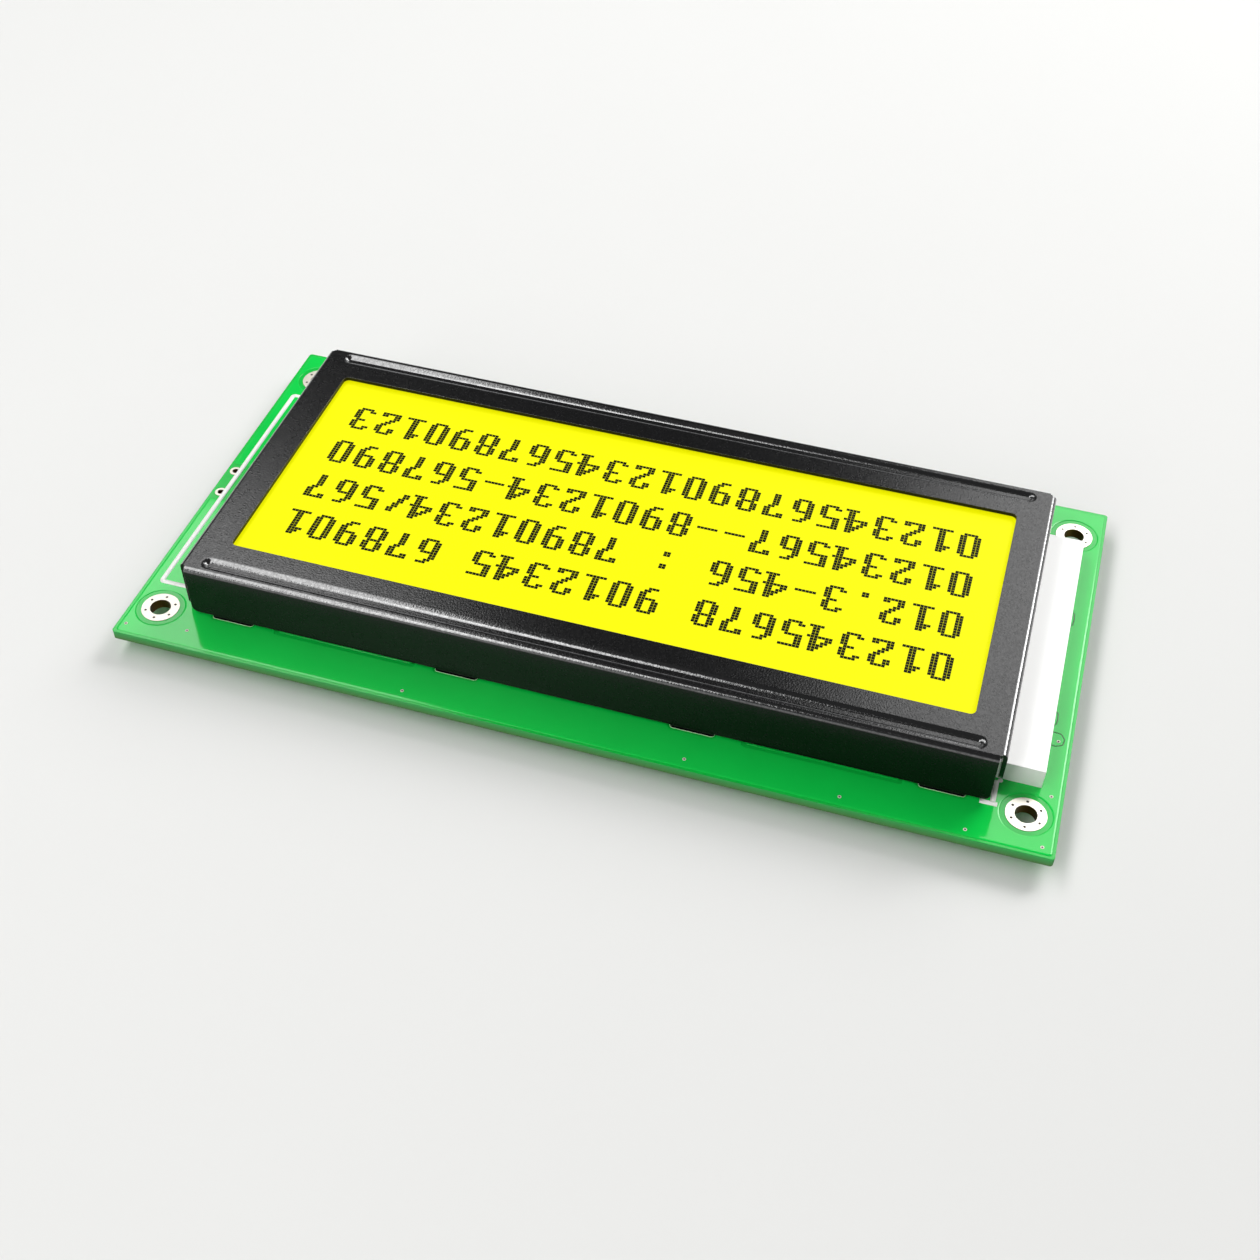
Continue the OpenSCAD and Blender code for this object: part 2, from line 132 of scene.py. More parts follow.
TRACE_LOOP = (
    (-53.4, 10.5), (-54.6, 10.6), (-55.05, 11.3), (-54.95, 12.2), (-54.2, 12.6), (-53.4, 12.5),
)
TRACE_ARCS = (
    ((-53.4, -9.6), (-53.85, -9.2), (-53.95, -8.2), (-53.85, -7.2), (-53.4, -6.8)),
    ((-53.4, 7.2), (-53.9, 7.6), (-53.95, 8.6), (-53.85, 9.3), (-53.4, 9.6)),
)

# Copper lines and printed frames behind the board, in millimetres
BUS_LINES = 6
BUS_ROW = -14.6
BUS_STEP = 0.7
BUS_HALF = 46.0
FAN_LINES = 9
FAN_STEP = 0.75
FAN_TOP = 17.6
PAD_REACH = 1.0
SLOT_MARGIN = 0.4
CAP_FRAME_GAP = 0.6
CHIP_FRAME_GAP = (0.75, 0.35)
CHIP_FRAME_CORNER = 0.2
FRAME_LINE = 0.2

# Vias in each ring of a mounting hole, and the angle of the first in degrees
RING_VIAS = 6
RING_VIA_START = 32

# Sizes that the node trees take, and those of small mounds and ribbons in millimetres
MOUND = ("Length", "Width", "Height")
RIBBON = ("Width", "Height", "Corner")
# Sizes of the near-black dots painted as shade in the ring vias
RING_VIA_SHADE_DOT = (0.32, 0.32, 0.012)
VIA_SHADE_DOT_HEIGHT = 0.02
TRACE_GAP = (0.14, 0.01, 0.35)
PIN_SOLDER = (1.6, 1.6, 1.0)
CHIP_SOLDER = (1.0, 1.3, 0.7)

# Pieces that curved lines are divided into
CIRCLE_STEPS = 48
END_STEPS = 12
CORNER_STEPS = 5
FILLET_STEPS = 6
SLOPE_STEPS = 3

# Faces whose normal stands steeper than this lie level
LEVEL = 0.9999

# Steepness at which a face is flat, and those between which rounds fade to flats and walls
FLAT_FROM = 0.5
FLAT_FADE = (0.997, 0.975)
WALL_FADE = (0.05, 0.25)

# Turn of the normal at which edges show bare steel and a painted highlight, from the least to the most
# marked lengths
EDGE_WEAR_AND_GLINT_FADE = (0.72, 1.0)

# Size of a speck of dust as a share of the distance between specks
DUST_SHARE = 0.014

# Rays that find the edges of a piece
EDGE_RAYS = 4

# A wave texture of scale 1 repeats every tau / 20 units
WAVE_REPEAT = math.tau / 20

# Layers of the laminate in millimetres
LAMINATE_LAYER = 0.2

# Layers of the contact rubber in millimetres, coarser than real ones so that they show
RUBBER_LAYER = 0.36

# Places of a mix node's two colours among its inputs, and of the mixed one among its outputs
FIRST_TONE = 6
SECOND_TONE = 7
MIXED_TONE = 2

# Place, direction of the first side and the two sides of each light, in metres
LIGHTS = {
    "strip": ((0.3, 0.0, 0.55), (-0.07, 0.99, 0), (0.96, 0.2)),
    "near": ((0.21, 0.53, 0.44), (0.93, -0.37, 0), (0.2, 0.56)),
    "far": ((-0.25, -0.58, 0.5), (0.94, -0.35, 0), (0.5, 0.5)),
    "edge": ((-0.33, -0.48, 0.47), (-0.7, 0, -0.72), (0.34, 0.2)),
}

# Rise of the direction over which the pale horizon fades to the light from above
HORIZON_FADE = (0.12, 0.4)

# The nearest that the camera sees, in metres
NEAREST = 0.01


def linear(code):
    """An sRGB hex colour as linear red, green and blue."""
    channels = [int(code[i:i + 2], 16) / 255 for i in (1, 3, 5)]
    return tuple(c / 12.92 if c <= 0.04045 else ((c + 0.055) / 1.055) ** 2.4 for c in channels)


def per(size):
    """Texture scale at which a pattern repeats about every so many millimetres."""
    return 1 / (size * MM)


def length(name, about, default):
    """Property for a length that is given in millimetres."""
    return FloatProperty(name=name, description=about, default=default * MM, unit="LENGTH", precision=5)


def colour(name, about, default):
    """Property for a colour that is given as sRGB hex."""
    return FloatVectorProperty(name=name, description=about, default=linear(default), subtype="COLOR")


def power(name, about, default):
    """Property for a light's power in watts."""
    return FloatProperty(name=name, description=about, default=default, unit="POWER")


def amount(name, about, default):
    """Property for a plain number."""
    return FloatProperty(name=name, description=about, default=default)


class ScreenSettings(bpy.types.PropertyGroup):
    """Sizes and colours of the screen."""

    dot_pitch: length("Dot pitch", "Distance between the middles of two dots", 0.43)
    dot_gap: length("Dot gap", "Clear line between two dots", 0.03)
    dot_height: length("Dot height", "Height of a dot over the film", 0.006)
    film_colour: colour("Film", "Colour of the lit screen", "#A0A000")
    dot_colour: colour("Dots", "Colour of a dark dot", "#070803")
    glass_colour: colour("Glass", "Tint of the two glass plates", "#DCEBE2")
    rear_colour: colour("Rear film", "Polariser behind the glass", "#B7B83A")
    resin_colour: colour("Resin", "Bead on the filling port", "#CDB27C")
    glow: amount("Glow", "Light that comes through the film", 1.85)


class BoardSettings(bpy.types.PropertyGroup):
    """Sizes and colours of the circuit board."""

    mask_colour: colour("Mask on laminate", "Solder mask with no copper under it", "#0ABE42")
    copper_colour: colour("Mask on copper", "Solder mask over the copper layer", "#10D04C")
    laminate_colour: colour("Laminate", "Sawn edge of the glass-epoxy board", "#557F45")
    run_colour: colour("Mask run", "Mask that runs over the sawn edge", "#2FA850")
    # Pale rim colour: bare board, lightened as a painted highlight along the slot edges
    rim_laminate_and_glint_colour: colour("Rim", "Bare board around a slot", "#C4EDBC")
    tin_colour: colour("Tin", "Tinned rings", "#E9E4D8")
    # Dark brown down the bores and inside the vias: painted shade
    bore_shade_colour: colour("Bore", "Plated inside of a hole", "#6B5226")
    ink_colour: colour("Ink", "Printed lines", "#FCFCF8")
    copper_inset: length("Copper inset", "From the board's edge to the copper layer", 0.35)
    copper_step: length("Copper step", "Height of the copper layer", 0.055)
    copper_slope: length("Copper slope", "Width of the slope at the copper's edge", 0.24)
    ring_gap: length("Hole clearance", "Radius of the clear circle around a hole", 2.9)
    pad_gap: length("Pad clearance", "Gap between a ring and the copper layer", 0.25)
    block_lap: length("Block lap", "How far the copper reaches under the lamp block", 0.3)
    ink_line: length("Ink line", "Width of a printed line", 0.62)
    ink_height: length("Ink height", "Thickness of the printed ink", 0.012)
    via_ring: length("Via ring", "Outer diameter of a via", 0.44)
    via_bore: length("Via bore", "Bore of a via", 0.2)
    rim_line: length("Slot rim", "Width of the bare rim around a slot", 0.07)
    trace_width: length("Trace width", "Width of a copper line behind the board", 0.32)


class BezelSettings(bpy.types.PropertyGroup):
    """Finish of the folded steel bezel."""

    enamel_colour: colour("Enamel", "Baked enamel on the steel", "#0C0C0D")
    # Pale grey on sharp edges: steel at sheared edges, and a painted highlight along them
    edge_steel_and_glint_colour: colour("Edge", "Steel that shows at the sheared edges", "#7C7C78")
    dust_colour: colour("Dust", "Specks of dust on the enamel", "#B9B7AE")
    grain: length("Grain", "Size of the enamel's pebbled grain", 0.22)
    dust_spacing: length("Dust spacing", "Usual distance between two specks", 5.0)


class BacklightSettings(bpy.types.PropertyGroup):
    """Colours of the backlight and the contact strips."""

    housing_colour: colour("Housing", "White moulded housing", "#F2F2F0")
    # Painted light: emission on the housing's flat faces only, which brightens its top
    housing_painted_top_light: amount("Housing glow", "Light through the housing's flat faces", 0.32)
    guide_colour: colour("Light guide", "Tint of the acrylic plate", "#EEF6F4")
    sheet_colour: colour("Films", "Reflector and diffuser", "#F4F4F1")
    strip_colour: colour("Lamp strip", "Thin board of the lamps", "#D7E2CF")
    rubber_colour: colour("Rubber", "Insulating layers of a contact strip", "#8E9A9A")
    carbon_colour: colour("Carbon", "Conducting layers of a contact strip", "#1B1D1E")
    lamp_colour: colour("Lamp", "Resin face of a lamp", "#F4E9B8")


class ChipSettings(bpy.types.PropertyGroup):
    """Colours of the parts behind the board."""

    epoxy_colour: colour("Epoxy", "Potting over a chip", "#0B0B0C")
    resistor_colour: colour("Resistor", "Overcoat of a chip resistor", "#1D1D22")
    capacitor_colour: colour("Capacitor", "Ceramic of a chip capacitor", "#A58460")
    solder_colour: colour("Solder", "Solder at the chip ends", "#D9D8D2")
    chip_pitch: length("Chip pitch", "Distance between two chip parts", 9.5)
    chip_length: length("Chip length", "Length of a chip part", 2.0)
    cap_length: length("Cap length", "Length of the metal cap at a chip's end", 0.4)


class StageSettings(bpy.types.PropertyGroup):
    """Floor, light and camera."""

    floor_colour: colour("Floor", "Plain pale floor", "#E4E4E2")
    floor_reach: length("Floor reach", "Radius of the floor", 600.0)
    sky_colour: colour("Sky", "Tint of the even light", "#F4F5F6")
    world_light: amount("World light", "Even light from above", 0.1)
    horizon_light: amount("Horizon light", "Pale light low around the floor", 0.85)
    strip_power: power("Strip light", "Long soft light over the module's right end", 2.5)
    near_power: power("Near light", "Tall light before the screen's top edge", 1.5)
    far_power: power("Far light", "Soft light beyond the screen's lower edge", 2.6)
    edge_power: power("Edge light", "Small light beyond the module's left end", 1.9)
    lens: amount("Lens", "Focal length on a 36 mm frame", 47.43)
    camera_place: FloatVectorProperty(
        name="Camera place", description="Where the camera stands", subtype="XYZ",
        default=(-41.06 * MM, 141.95 * MM, 147.5 * MM))
    camera_turn: FloatVectorProperty(
        name="Camera turn", description="How the camera is turned", subtype="EULER",
        default=(math.radians(43.637), math.radians(-0.767), math.radians(-163.149)))


def add(tree, kind, values=None):
    """Adds a node with values for its options or sockets; another node is linked by its first output."""
    node = tree.nodes.new(kind)
    for name, value in (values or {}).items():
        if isinstance(value, bpy.types.Node):
            value = value.outputs[0]
        if isinstance(value, bpy.types.NodeSocket):
            tree.links.new(value, node.inputs[name])
        elif isinstance(name, int) or name in node.inputs:
            node.inputs[name].default_value = value
        else:
            setattr(node, name, value)
    return node


# Materials


def start_material(name):
    """A new material with its tree and the surface's own coordinates."""
    made = bpy.data.materials.new(name)
    made.use_nodes = True
    made.node_tree.nodes.clear()
    return made, made.node_tree, add(made.node_tree, "ShaderNodeTexCoord")


def end_material(made, values):
    """Closes a material with its surface shader."""
    surface = add(made.node_tree, "ShaderNodeBsdfPrincipled", values)
    add(made.node_tree, "ShaderNodeOutputMaterial", {"Surface": surface})
    return made


def mottled(tree, coords, tone, size, spread):
    """A colour that is lighter and darker in patches of about that size in millimetres."""
    patches = add(tree, "ShaderNodeTexNoise", {
        "Scale": per(size), "Detail": 3.0, "Vector": coords.outputs["Object"],
    })
    shade = add(tree, "ShaderNodeMapRange", {
        "Value": patches, "To Min": 1 - spread, "To Max": 1 + spread,
    })
    return add(tree, "ShaderNodeVectorMath", {"operation": "SCALE", 0: tuple(tone), "Scale": shade})


def roughened(tree, coords, size, depth, edge):
    """A normal with grain of that size and depth in millimetres, and edges eased by a radius."""
    grain = add(tree, "ShaderNodeTexNoise", {"Scale": per(size), "Vector": coords.outputs["Object"]})
    eased = add(tree, "ShaderNodeBevel", {"Radius": edge * MM, "samples": EDGE_RAYS})
    return add(tree, "ShaderNodeBump", {"Distance": depth * MM, "Height": grain, "Normal": eased})


def levelness(tree, coords):
    """0 on faces that stand upright, 1 on those that lie flat."""
    facing = add(tree, "ShaderNodeSeparateXYZ", {"Vector": coords.outputs["Normal"]})
    return add(tree, "ShaderNodeMath", {"operation": "ABSOLUTE", 0: facing.outputs["Z"]})


def upright_faces(tree, coords):
    """1 on faces that stand upright, 0 on those that lie flat."""
    level = levelness(tree, coords)
    return add(tree, "ShaderNodeMath", {"operation": "LESS_THAN", 0: level, 1: FLAT_FROM})


def bent_faces(tree, coords, flat_share):
    """1 on rounds between upright and flat faces, a given share on flat ones, 0 on upright ones."""
    level = levelness(tree, coords)
    off_flat = add(tree, "ShaderNodeMapRange", {
        "Value": level, "From Min": FLAT_FADE[0], "From Max": FLAT_FADE[1], "To Min": flat_share,
    })
    off_wall = add(tree, "ShaderNodeMapRange", {
        "Value": level, "From Min": WALL_FADE[0], "From Max": WALL_FADE[1],
    })
    return add(tree, "ShaderNodeMath", {"operation": "MULTIPLY", 0: off_flat, 1: off_wall})


def worn_and_glinting_edges(tree, coords, radius, size):
    """1 along sharp edges within a radius, in lengths of about that size, both in millimetres: bare
    steel, and a painted highlight along the edges.
    """
    eased = add(tree, "ShaderNodeBevel", {"Radius": radius * MM, "samples": EDGE_RAYS})
    face = add(tree, "ShaderNodeNewGeometry")
    turn = add(tree, "ShaderNodeVectorMath", {
        "operation": "DOT_PRODUCT", 0: eased, 1: face.outputs["Normal"],
    })
    lengths = add(tree, "ShaderNodeTexNoise", {"Scale": per(size), "Vector": coords.outputs["Object"]})
    limit = add(tree, "ShaderNodeMapRange", {
        "Value": lengths, "To Min": EDGE_WEAR_AND_GLINT_FADE[0], "To Max": EDGE_WEAR_AND_GLINT_FADE[1],
    })
    return add(tree, "ShaderNodeMath", {"operation": "LESS_THAN", 0: turn.outputs["Value"], 1: limit})


def even_finish(name, tone, values, patch, tooth=None):
    """A material of one colour; patch is a size and spread, tooth a size, depth and eased edge."""
    made, tree, coords = start_material(name)
    values = {**values, "Base Color": mottled(tree, coords, tone, *patch)}
    if tooth:
        values["Normal"] = roughened(tree, coords, *tooth)
    return end_material(made, values)


def mask_on_laminate(board):
    """Solder mask on glass-epoxy: deep glossy green, with layered laminate bare at sawn edges."""
    made, tree, coords = start_material("solder_mask_on_laminate")
    place = coords.outputs["Object"]
    sawn = upright_faces(tree, coords)
    layers = add(tree, "ShaderNodeTexWave", {
        "bands_direction": "Z", "Scale": WAVE_REPEAT * per(LAMINATE_LAYER), "Distortion": 2.0,
        "Vector": place,
    })
    shaded = [0.6 * c for c in board.laminate_colour]
    bare = add(tree, "ShaderNodeMix", {
        "data_type": "RGBA", 0: layers.outputs["Fac"],
        FIRST_TONE: (*board.laminate_colour, 1), SECOND_TONE: (*shaded, 1),
    })
    height = add(tree, "ShaderNodeSeparateXYZ", {"Vector": place})
    upper = add(tree, "ShaderNodeMapRange", {
        "Value": height.outputs["Z"], "From Min": BOARD_BACK, "From Max": BOARD_TOP,
    })
    laminate = add(tree, "ShaderNodeMix", {
        "data_type": "RGBA", 0: upper,
        FIRST_TONE: bare.outputs[MIXED_TONE], SECOND_TONE: (*board.run_colour, 1),
    })
    mask = mottled(tree, coords, board.mask_colour, size=4.0, spread=0.06)
    green = add(tree, "ShaderNodeMix", {
        "data_type": "RGBA", 0: sawn, FIRST_TONE: mask, SECOND_TONE: laminate.outputs[MIXED_TONE],
    })
    return end_material(made, {
        "IOR": 1.45,
        "Base Color": green.outputs[MIXED_TONE],
        "Roughness": add(tree, "ShaderNodeMapRange", {"Value": sawn, "To Min": 0.16, "To Max": 0.75}),
        "Normal": roughened(tree, coords, size=1.6, depth=0.004, edge=0.12),
    })


def mask_on_copper(board):
    """Solder mask over the copper layer: the same gloss, a little lighter, faintly wavy."""
    return even_finish("solder_mask_on_copper", board.copper_colour, {"IOR": 1.45, "Roughness": 0.1},
                       patch=(6.0, 0.07), tooth=(1.6, 0.004, 0.03))


def mask_gap_with_painted_shade(board):
    """Solder mask in a narrow gap of the copper: the same green darkened far below the mask on bare
    laminate, painted shade in the groove.
    """
    shaded = [0.28 * c for c in board.mask_colour]
    return even_finish("solder_mask_in_gap", shaded, {"IOR": 1.55, "Roughness": 0.3}, patch=(1.0, 0.1))


def bare_laminate(board):
    """Bare glass-epoxy where the mask stops short of a slot, with the weave's fine grain; its pale tone
    is partly a painted highlight along the slot's edge.
    """
    return even_finish("bare_laminate", board.rim_laminate_and_glint_colour, {"Roughness": 0.35},
                       patch=(0.5, 0.15), tooth=(0.2, 0.006, 0.05))


def hot_tinned_copper(board):
    """Hot-tinned copper: creamy satin metal on the rings, and a dark brown down the bores that is
    painted shade in the holes.
    """
    made, tree, coords = start_material("hot_tinned_copper")
    bore = upright_faces(tree, coords)
    tin = mottled(tree, coords, board.tin_colour, size=0.5, spread=0.05)
    metal = add(tree, "ShaderNodeMix", {
        "data_type": "RGBA", 0: bore, FIRST_TONE: tin, SECOND_TONE: (*board.bore_shade_colour, 1),
    })
    return end_material(made, {
        "Metallic": 1.0,
        "Base Color": metal.outputs[MIXED_TONE],
        "Roughness": add(tree, "ShaderNodeMapRange", {"Value": bore, "To Min": 0.42, "To Max": 0.28}),
        "Normal": roughened(tree, coords, size=0.35, depth=0.006, edge=0.05),
    })


def dull_tin(board):
    """Thin tin on a small via: pale and half matte, with mask drawn up round it."""
    return even_finish("dull_tin", board.tin_colour, {"Metallic": 0.3, "Roughness": 0.4},
                       patch=(0.2, 0.08))


def via_shadow(board):
    """Painted shade: near-black dots that stand for the dark inside of a tiny via, where no light comes
    back.
    """
    shaded = [0.12 * c for c in board.bore_shade_colour]
    return even_finish("via_bore_shadow", shaded, {"Roughness": 0.8}, patch=(0.1, 0.2))


def screen_ink(board):
    """Screen-printed epoxy ink: opaque white with a fine tooth and ragged density."""
    return even_finish("screen_printed_ink", board.ink_colour, {"Roughness": 0.55},
                       patch=(0.4, 0.06), tooth=(0.12, 0.004, 0.03))


def baked_enamel(bezel):
    """Black baked enamel on pressed steel: pebbled grain, shiny folds, dust, and pale sharp edges that
    are partly bare steel and partly a painted highlight.
    """
    made, tree, coords = start_material("baked_black_enamel")
    place = coords.outputs["Object"]
    cells = add(tree, "ShaderNodeTexVoronoi", {"Scale": 1 / bezel.grain, "Vector": place})
    specks = add(tree, "ShaderNodeTexVoronoi", {"Scale": 1 / bezel.dust_spacing, "Vector": place})
    pebbles = cells.outputs["Color"]
    dusty = add(tree, "ShaderNodeMath", {
        "operation": "LESS_THAN", 0: specks.outputs["Distance"], 1: DUST_SHARE,
    })
    enamel = mottled(tree, coords, bezel.enamel_colour, size=9.0, spread=0.12)
    worn_and_glint = add(tree, "ShaderNodeMix", {
        "data_type": "RGBA", 0: worn_and_glinting_edges(tree, coords, radius=0.07, size=2.5),
        FIRST_TONE: enamel, SECOND_TONE: (*bezel.edge_steel_and_glint_colour, 1),
    })
    dusted = add(tree, "ShaderNodeMix", {
        "data_type": "RGBA", 0: dusty,
        FIRST_TONE: worn_and_glint.outputs[MIXED_TONE], SECOND_TONE: (*bezel.dust_colour, 1),
    })
    grainy = roughened(tree, coords, size=bezel.grain / MM, depth=0.016, edge=0.08)
    patchy = add(tree, "ShaderNodeMapRange", {"Value": pebbles, "To Min": 0.55, "To Max": 1.0})
    folds = bent_faces(tree, coords, flat_share=0.2)
    return end_material(made, {
        "IOR": 1.3, "Coat Roughness": 0.1, "Coat IOR": 2.3,
        "Base Color": dusted.outputs[MIXED_TONE],
        "Roughness": add(tree, "ShaderNodeMapRange", {"Value": pebbles, "To Min": 0.3, "To Max": 0.14}),
        "Normal": grainy,
        "Coat Normal": grainy,
        "Coat Weight": add(tree, "ShaderNodeMath", {"operation": "MULTIPLY", 0: folds, 1: patchy}),
    })


def lit_film(screen):
    """Polariser film over a lit cell: even yellow-green glow with a fine anti-glare tooth."""
    return even_finish("lit_polariser_film", screen.film_colour, {
        "Roughness": 0.5, "Specular IOR Level": 0.08,
        "Emission Color": (*screen.film_colour, 1), "Emission Strength": screen.glow,
    }, patch=(22.0, 0.03), tooth=(0.1, 0.001, 0.02))


def dark_crystal(screen):
    """Switched liquid crystal under the film: near black with a trace of olive."""
    return even_finish("switched_liquid_crystal", screen.dot_colour,
                       {"Roughness": 0.5, "Specular IOR Level": 0.08}, patch=(3.0, 0.15))


def moulded_plastic(name, tone, size, depth, roughness):
    """Moulded plastic: even colour with the fine matte tooth of the mould."""
    return even_finish(name, tone, {"Roughness": roughness, "IOR": 1.55},
                       patch=(5.0, 0.015), tooth=(size, depth, 0.12))


def lit_polycarbonate(backlight):
    """White polycarbonate over lit lamps: matte white that the lamps light a little, with glow only on
    its flat faces as painted light that keeps the top bright where the bezel shades it.
    """
    made, tree, coords = start_material("lit_polycarbonate")
    return end_material(made, {
        "Roughness": 0.42, "IOR": 1.55, "Emission Color": (*backlight.housing_colour, 1),
        "Base Color": mottled(tree, coords, backlight.housing_colour, size=5.0, spread=0.015),
        "Normal": roughened(tree, coords, size=0.3, depth=0.003, edge=0.12),
        # Emission on flat faces only: painted light on the top
        "Emission Strength": add(tree, "ShaderNodeMapRange", {
            "Value": levelness(tree, coords), "To Max": backlight.housing_painted_top_light,
        }),
    })


def clear_solid(name, tone, ior):
    """Clear glass or acrylic: tinted through its depth, with polished faces."""
    return even_finish(name, tone, {"Transmission Weight": 0.9, "IOR": ior, "Roughness": 0.04},
                       patch=(20.0, 0.02))


def layered_rubber(backlight):
    """Contact rubber: dark conducting layers between pale insulating ones, stacked along the strip."""
    made, tree, coords = start_material("layered_contact_rubber")
    layers = add(tree, "ShaderNodeTexWave", {
        "bands_direction": "X", "Scale": WAVE_REPEAT * per(RUBBER_LAYER),
        "Vector": coords.outputs["Object"],
    })
    rubber = add(tree, "ShaderNodeMix", {
        "data_type": "RGBA", 0: layers.outputs["Fac"],
        FIRST_TONE: (*backlight.carbon_colour, 1), SECOND_TONE: (*backlight.rubber_colour, 1),
    })
    return end_material(made, {
        "Roughness": 0.7,
        "Base Color": rubber.outputs[MIXED_TONE],
        "Normal": roughened(tree, coords, size=0.15, depth=0.004, edge=0.05),
    })


def tinned_metal(name, tone):
    """Solder or tinned wire: bright soft metal with a slightly frosted skin."""
    return even_finish(name, tone, {"Metallic": 1.0, "Roughness": 0.3},
                       patch=(0.6, 0.06), tooth=(0.25, 0.008, 0.05))


def chip_ceramic(name, tone, chips):
    """Fired chip part: matte ceramic body between two tinned end caps."""
    made, tree, coords = start_material(name)
    place = add(tree, "ShaderNodeSeparateXYZ", {"Vector": coords.outputs["Object"]})
    half = chips.chip_pitch / 2
    along = add(tree, "ShaderNodeMath", {"operation": "WRAP", 0: place.outputs["X"], 1: half, 2: -half})
    from_gap = add(tree, "ShaderNodeMath", {"operation": "ABSOLUTE", 0: along})
    body_reach = half - chips.chip_length / 2 + chips.cap_length
    capped = add(tree, "ShaderNodeMath", {"operation": "LESS_THAN", 0: from_gap, 1: body_reach})
    fired = mottled(tree, coords, tone, size=0.5, spread=0.1)
    ends = add(tree, "ShaderNodeMix", {
        "data_type": "RGBA", 0: capped, FIRST_TONE: fired, SECOND_TONE: (*chips.solder_colour, 1),
    })
    return end_material(made, {
        "Base Color": ends.outputs[MIXED_TONE],
        "Metallic": capped,
        "Roughness": add(tree, "ShaderNodeMapRange", {"Value": capped, "To Min": 0.6, "To Max": 0.32}),
        "Normal": roughened(tree, coords, size=0.2, depth=0.006, edge=0.06),
    })


def painted_floor(stage):
    """Plain pale studio floor, matte with a faint mottle."""
    return even_finish("pale_floor", stage.floor_colour,
                       {"Roughness": 0.75, "Specular IOR Level": 0.25}, patch=(60.0, 0.01))


# Making pieces


def dress(nodes, material):
    """Gives CAD nodes their finish."""
    for name in nodes:
        slots = frame["nodes"][name].data.materials
        slots.clear()
        slots.append(material)


def numbered(pattern):
    """The CAD nodes whose names start with a pattern, in order."""
    return sorted(name for name in frame["nodes"] if name.startswith(pattern))


def settle(piece):
    """Lets a finished piece ride on the module."""
    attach(piece, BODY)


def at_height(places, height):
    """Flat places in millimetres as points at a height in metres."""
    return [(x * MM, y * MM, height) for x, y in places]


def sized(names, sizes):
    """Named sizes in metres from sizes in millimetres."""
    return {name: size * MM for name, size in zip(names, sizes)}


def plain_mesh(points, edges=(), faces=()):
    """A mesh of points given in metres, with edges or faces between them."""
    mesh = bpy.data.meshes.new("plain")
    mesh.from_pydata(points, edges, faces)
    return mesh


def path_mesh(paths, height, closed=False):
    """A mesh of edges along flat paths given in millimetres, all at one height in metres."""
    points = []
    edges = []
    for path in paths:
        start = len(points)
        points += at_height(path, height)
        edges += [(i, i + 1) for i in range(start, len(points) - 1)]
        if closed:
            edges.append((len(points) - 1, start))
    return plain_mesh(points, edges)


def new_object(name, data):
    """A new object in the scene."""
    made = bpy.data.objects.new(name, data)
    bpy.context.scene.collection.objects.link(made)
    return made


def baked(made):
    """The mesh of an object as its curves or modifiers shape it."""
    graph = bpy.context.evaluated_depsgraph_get()
    return bpy.data.meshes.new_from_object(made.evaluated_get(graph), depsgraph=graph)


def start_tree(name, sizes):
    """A node tree that takes a geometry, named sizes and a material."""
    tree = bpy.data.node_groups.new(name, "GeometryNodeTree")
    tree.interface.new_socket("Geometry", in_out="INPUT", socket_type="NodeSocketGeometry")
    for size in sizes:
        tree.interface.new_socket(size, in_out="INPUT", socket_type="NodeSocketFloat")
    tree.interface.new_socket("Material", in_out="INPUT", socket_type="NodeSocketMaterial")
    tree.interface.new_socket("Geometry", in_out="OUTPUT", socket_type="NodeSocketGeometry")
    return tree, add(tree, "NodeGroupInput").outputs


def end_tree(tree, given, shape):
    """Closes a node tree: real geometry with its material."""
    real = add(tree, "GeometryNodeRealizeInstances", {"Geometry": shape})
    finished = add(tree, "GeometryNodeSetMaterial", {"Geometry": real, "Material": given["Material"]})
    add(tree, "NodeGroupOutput", {"Geometry": finished})
    return tree


def end_on_points(tree, given, shape):
    """Closes a node tree that sets a shape on every point."""
    spread = add(tree, "GeometryNodeInstanceOnPoints", {"Points": given["Geometry"], "Instance": shape})
    return end_tree(tree, given, spread)


def square_dots():
    """Flat square dots standing on points."""
    tree, given = start_tree("Square dots", ("Width", "Height"))
    size = add(tree, "ShaderNodeCombineXYZ", {
        "X": given["Width"], "Y": given["Width"], "Z": given["Height"],
    })
    half = add(tree, "ShaderNodeMath", {"operation": "MULTIPLY", 0: given["Height"], 1: 0.5})
    lift = add(tree, "ShaderNodeCombineXYZ", {"Z": half})
    cube = add(tree, "GeometryNodeMeshCube", {"Size": size})
    stood = add(tree, "GeometryNodeTransform", {"Geometry": cube, "Translation": lift})
    return end_on_points(tree, given, stood)


def eyelets():
    """Low round-topped rings lying on points."""
    tree, given = start_tree("Eyelets", ("Middle radius", "Rim radius"))
    line = add(tree, "GeometryNodeCurvePrimitiveCircle", {
        "Resolution": 20, "Radius": given["Middle radius"],
    })
    rim = add(tree, "GeometryNodeCurvePrimitiveCircle", {"Resolution": 8, "Radius": given["Rim radius"]})
    ring = add(tree, "GeometryNodeCurveToMesh", {"Curve": line, "Profile Curve": rim})
    flat = add(tree, "GeometryNodeTransform", {"Geometry": ring, "Scale": (1, 1, 0.5)})
    return end_on_points(tree, given, flat)


def mounds():
    """Low round mounds on points, half sunk."""
    tree, given = start_tree("Mounds", MOUND)
    ball = add(tree, "GeometryNodeMeshUVSphere", {"Segments": 14, "Rings": 8, "Radius": 0.5})
    size = add(tree, "ShaderNodeCombineXYZ", {
        "X": given["Length"], "Y": given["Width"], "Z": given["Height"],
    })
    mound = add(tree, "GeometryNodeTransform", {"Geometry": ball, "Scale": size})
    return end_on_points(tree, given, mound)


